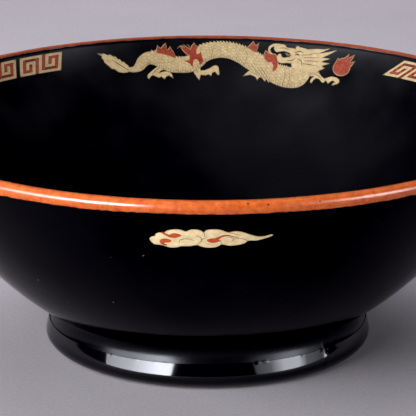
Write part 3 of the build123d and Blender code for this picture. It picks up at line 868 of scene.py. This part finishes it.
def pearl_sheet():
    """Red ball over its flames, each with a thin gold edge."""
    sheet = Transfer()
    ball = np.array(PEARL_MIDDLE) + polar(np.arange(32) / 32 * tau, 1) * PEARL_RADII
    for outline in (PEARL_FLAMES, ball):
        sheet.patch(grown(outline, GOLD_EDGE), GROUND, slot=1, step=0.45)
    sheet.patch(PEARL_FLAMES, SECOND, step=0.4)
    sheet.patch(ball, SECOND + 0.06, step=0.45, crown=0.1)
    return sheet


gold_drawing, flame_drawing, pearl_drawing = dragon_gold(), dragon_flames(), pearl_sheet()
for place, turn in (("front", 0.0), ("back", pi)):
    for name, drawing, materials, node, slot in (
        ("dragon", gold_drawing, [gold, gold_scales, gold_line, soft_line], "dragon_gold", "gold_enamel"),
        ("flames", flame_drawing, [red, gold], "dragon_flames", "red_enamel"),
        ("burning_pearl", pearl_drawing, [red, gold], "pearl", "red_enamel"),
    ):
        piece = drawing.piece(f"{name}_{place}", materials, [turn])
        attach(piece, "root")
        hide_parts(f"{node}_{place}")

# ---- key fret ----
FRET_WIDTH, FRET_PITCH, FRET_START = radians(10.0), radians(10.94), radians(144.0)
FRET_PANELS, FRET_TOP, FRET_HEIGHT = 10, 1.9, 5.8
FRET_COLUMNS, FRET_ROWS = 13, 7
FRET_LEANS = radians(1.2), radians(4.2)    # of a strip's first and last panel, over their height
SPIRAL = [(5.5, 7.5), (5.5, 1.5), (1.5, 1.5), (1.5, 5.5), (3.5, 5.5), (3.5, 3.5)]


def panel_point(corner, lean):
    """Flat position of a grid corner of a leaning panel."""
    column, row = corner
    swing = (column / FRET_COLUMNS - 0.5) * FRET_WIDTH + (0.5 - row / FRET_ROWS) * lean
    return (swing * TRANSFER_RADIUS, FRET_TOP + FRET_HEIGHT * row / FRET_ROWS)


def spiral_outline(centre):
    """Outline of a square stroke one unit wide along a path with square corners."""
    centre = np.array(centre, float)
    headings = np.sign(np.diff(centre, axis=0))
    left, right = [], []
    for i, point in enumerate(centre):
        before, after = headings[max(i - 1, 0)], headings[min(i, len(headings) - 1)]
        end = -0.5 * after if i == 0 else 0.5 * before if i == len(centre) - 1 else 0
        side = np.array([-before[1], before[0]]) + (
            np.array([-after[1], after[0]]) if 0 < i < len(centre) - 1 else 0
        )
        left.append(point + end + 0.5 * side)
        right.append(point + end - 0.5 * side)
    return np.clip(np.array(left + right[::-1]), 0, (FRET_COLUMNS, FRET_ROWS))


def fret_objects():
    """All panels of both strips: one object of grounds and one of red lines."""
    for name, shapes, lift, material, node, slot in (
        ("fret_grounds", [[(0, 0), (FRET_COLUMNS, 0), (FRET_COLUMNS, FRET_ROWS), (0, FRET_ROWS)]],
         GROUND, gold, "fret_panels_gold", "gold_enamel"),
        ("fret_lines", [spiral_outline(SPIRAL),
                        np.array([FRET_COLUMNS, FRET_ROWS]) - spiral_outline(SPIRAL)],
         SECOND + 0.05, fret_red, "fret_lines_red", "red_enamel"),
    ):
        parts = []
        for index in range(FRET_PANELS):
            lean = FRET_LEANS[0] + (FRET_LEANS[1] - FRET_LEANS[0]) * (index / (FRET_PANELS - 1)) ** 2
            sheet = Transfer()
            for shape in shapes:
                sheet.patch([panel_point(corner, lean) for corner in shape], lift, step=0.7, crown=0.03)
            away = FRET_PITCH * index - FRET_START
            parts.append(sheet.piece(f"{name}_{index}", [material], [away, away + pi]))
        with bpy.context.temp_override(active_object=parts[0], selected_editable_objects=parts,
                                       selected_objects=parts, object=parts[0]):
            bpy.ops.object.join()
        parts[0].name = name
        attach(parts[0], "root")
        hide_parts(node)


fret_objects()

# ---- clouds, as (distance along the outer wall, depth below the lip), and half widths ----
CLOUD_COUNT = 4
CLOUD = [
    (-16.9, 13.6), (-16.4, 12.6), (-15.2, 12.2), (-15.0, 11.5), (-13.9, 10.9), (-12.6, 10.9), (-11.4, 10.0),
    (-9.2, 9.5), (-7.4, 9.7), (-6.2, 10.2), (-4.7, 9.5), (-3.0, 9.5), (-1.8, 9.9), (-1.1, 10.5),
    (-0.3, 9.7), (1.6, 9.4), (3.7, 9.6), (5.8, 10.5), (7.8, 10.2), (9.8, 10.5), (11.9, 11.4), (14.5, 12.4),
    (16.6, 12.4), (18.5, 11.9), (18.9, 12.1), (18.4, 12.5), (16.6, 13.2), (14.3, 13.8), (11.9, 13.8),
    (10.8, 14.7), (8.8, 15.3), (6.4, 15.5), (4.2, 15.0), (2.6, 15.9), (0.1, 16.2), (-2.0, 15.7),
    (-3.1, 15.2), (-5.2, 15.6), (-7.6, 15.7), (-9.2, 16.2), (-11.2, 16.3), (-13.6, 15.5), (-15.8, 15.2),
]
CLOUD_CURLS = [
    [
        (-13.1, 10.6, 0.2), (-12.0, 11.3, 0.3), (-11.0, 11.9, 0.45), (-9.8, 11.7, 0.85),
        (-8.6, 11.6, 0.7), (-7.6, 11.6, 0.2),
    ],
    [
        (-12.0, 15.5, 0.15), (-13.0, 15.0, 0.4), (-13.5, 14.2, 0.6), (-12.6, 13.7, 0.75),
        (-11.4, 13.7, 0.65), (-10.6, 13.7, 0.25),
    ],
    [
        (-0.2, 13.2, 0.2), (1.0, 13.4, 0.75), (2.2, 13.3, 0.8), (3.2, 12.4, 0.4), (4.5, 11.7, 0.27),
        (6.0, 11.6, 0.18), (7.6, 12.1, 0.1), (9.0, 12.5, 0.04),
    ],
    [(1.6, 13.7, 0.3), (2.8, 13.6, 0.35), (3.9, 13.5, 0.1)],
]
CLOUD_LINES = [
    [(-8.3, 14.4, 0.05), (-8.1, 13.4, 0.09), (-6.8, 12.9, 0.09), (-5.2, 12.9, 0.08), (-3.9, 13.4, 0.05)],
    [(-3.4, 11.6, 0.05), (-2.1, 12.2, 0.09), (-1.8, 13.4, 0.09), (-3.0, 15.1, 0.05)],
    [(-1.1, 10.4, 0.05), (-0.9, 11.2, 0.08), (-0.9, 12.0, 0.04)],
    [(-1.9, 14.0, 0.04), (-1.5, 12.9, 0.08), (-0.1, 12.2, 0.05)],
    [(6.9, 13.9, 0.05), (7.6, 13.1, 0.08), (6.9, 12.4, 0.08), (5.4, 12.1, 0.04)],
    [(11.8, 13.8, 0.05), (10.1, 12.9, 0.08), (7.8, 12.6, 0.04)],
    [(3.9, 13.7, 0.04), (3.9, 14.3, 0.08), (4.3, 15.0, 0.04)],
    [(5.9, 10.5, 0.04), (7.6, 11.0, 0.07), (9.6, 11.6, 0.04)],
]
cloud, curls = Transfer(), Transfer()
cloud.patch(CLOUD, GROUND, smooth=True, step=0.45)
for line in CLOUD_LINES:
    cloud.ribbon(line, GROUND + 0.06, slot=1, columns=3)
for line in CLOUD_CURLS:
    curls.ribbon(line, SECOND + 0.05)
turns = [tau * i / CLOUD_COUNT for i in range(CLOUD_COUNT)]
for piece, node, slot in (
    (cloud.piece("clouds", [cream, brown_line], turns, inside=False), "clouds_gold", "cream_enamel"),
    (curls.piece("cloud_curls", [cloud_red], turns, inside=False), "cloud_curls_red", "red_enamel"),
):
    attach(piece, "root")
    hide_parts(node)


# ---- floor, light and camera ----
FLOOR_HALF = 6 / MM
COOL = (0.88, 0.9, 1)       # colour of the windows
CAMERA_ELEVATION, CAMERA_DISTANCE = radians(16.654), 1.05
CAMERA_TARGET = Vector((0.0001, 0, 0.0447))
LENS, SENSOR = 277.5, 36


def floor_paper():
    """Pale lilac-grey paper with soft mottling."""
    n = Nodes("floor_paper")
    cloudy = n.ramp(n.noise(14, 5, 0.6), (0.3, (0.365, 0.338, 0.378)), (0.7, (0.39, 0.364, 0.402)))
    fine = n.ramp(n.noise(900, 3, 0.7), (0.3, 0.9), (0.7, 1.07))
    n.bump(n.noise(700, 3), 0.12, 0.0002)
    return n.set(Base_Color=n.mix(1.0, cloudy, fine, "MULTIPLY"), Roughness=0.85, Specular_IOR_Level=0.2)


def floor():
    """Flat sheet of paper, wide enough for every view."""
    corners = np.array([(-1, -1, 0), (1, -1, 0), (1, 1, 0), (-1, 1, 0)]) * FLOOR_HALF
    make_object("floor", corners, [(0, 1, 2, 3)], [floor_paper()])


def aim(piece, place, target):
    """Stands a lamp or camera at a place, looking at a target."""
    piece.location = place
    piece.rotation_euler = (target - place).to_track_quat("-Z", "Y").to_euler()


def softbox(name, bearings, elevations, distance, watts, colour=(1, 1, 1), lights=True, shows=True):
    """Area light that fills a range of bearings, off the front towards +X, and elevations, in degrees.

    It either lights matt surfaces, or shows in glossy ones, or does both."""
    (left, right), (low, high) = map(radians, bearings), map(radians, elevations)
    bearing, elevation = (left + right) / 2, (low + high) / 2
    flat = distance * cos(elevation)
    place = Vector((flat * sin(bearing), -flat * cos(bearing), distance * sin(elevation)))
    light = bpy.data.lights.new(name, "AREA")
    light.shape = "RECTANGLE"
    light.size = 2 * distance * tan((right - left) / 2)
    light.size_y = 2 * distance * tan((high - low) / 2)
    light.energy, light.color = watts, colour
    lamp = add_object(name, light)
    aim(lamp, place, Vector())
    lamp.visible_diffuse, lamp.visible_glossy = lights, shows
    return lamp


def window(name, bearings, elevations, distance, watts, *stops):
    """Softbox seen only in glossy surfaces, whose brightness changes from its first bearing to its last."""
    lamp = softbox(name, bearings, elevations, distance, watts, COOL, lights=False)
    light = lamp.data
    light.use_nodes = True
    tree = light.node_tree
    across = tree.nodes.new("ShaderNodeNewGeometry")
    split = tree.nodes.new("ShaderNodeSeparateXYZ")
    ramp = tree.nodes.new("ShaderNodeValToRGB")
    tree.links.new(across.outputs["Parametric"], split.inputs[0])
    tree.links.new(split.outputs["X"], ramp.inputs["Fac"])
    ramp.color_ramp.elements[0].position, ramp.color_ramp.elements[1].position = stops[0][0], stops[-1][0]
    for share, _ in stops[1:-1]:
        ramp.color_ramp.elements.new(share)
    for element, (_, strength) in zip(ramp.color_ramp.elements, stops):
        element.color = (strength, strength, strength, 1)
    tree.links.new(ramp.outputs["Color"], tree.nodes["Emission"].inputs["Strength"])


def camera():
    """Long lens a metre from the bowl, looking down on its front."""
    made = bpy.data.cameras.new("camera")
    made.lens, made.sensor_width = LENS, SENSOR
    eye = add_object("camera", made)
    back, up = CAMERA_DISTANCE * cos(CAMERA_ELEVATION), CAMERA_DISTANCE * sin(CAMERA_ELEVATION)
    aim(eye, CAMERA_TARGET + Vector((0, -back, up)), CAMERA_TARGET)
    bpy.context.scene.camera = eye


def studio():
    """Faint even light, and a plain view with a slightly lowered black."""
    world = bpy.data.worlds.new("studio")
    world.use_nodes = True
    background = world.node_tree.nodes["Background"]
    background.inputs["Color"].default_value = (0.9, 0.88, 1, 1)
    background.inputs["Strength"].default_value = 0.06
    bpy.context.scene.world = world
    view = bpy.context.scene.view_settings
    view.view_transform = "Standard"
    view.use_curve_mapping = True
    view.curve_mapping.black_level = (0.0045, 0.0045, 0.0045)
    view.curve_mapping.update()


floor()
softbox("key", (-80, -24), (2, 46), 1.3, 35, shows=False)
softbox("fill", (30, 84), (2, 46), 1.4, 5, shows=False)
softbox("top", (150, 210), (48, 88), 1.5, 20, (0.97, 0.96, 1), shows=False)
window("left_window", (-74, -24), (0, 27), 1.25, 150,
       (0.0, 0.25), (0.4, 0.45), (0.8, 1.0), (0.96, 1.0), (1.0, 0.6))
window("right_window", (33, 86), (0, 27), 1.25, 62,
       (0.0, 0.12), (0.22, 0.25), (0.4, 1.0), (0.6, 1.0), (0.72, 0.2), (1.0, 0.08))
softbox("sky", (-85, -15), (52, 80), 1.4, 2.5, (0.85, 0.88, 1), lights=False)
camera()
studio()

bpy.context.view_layer.update()
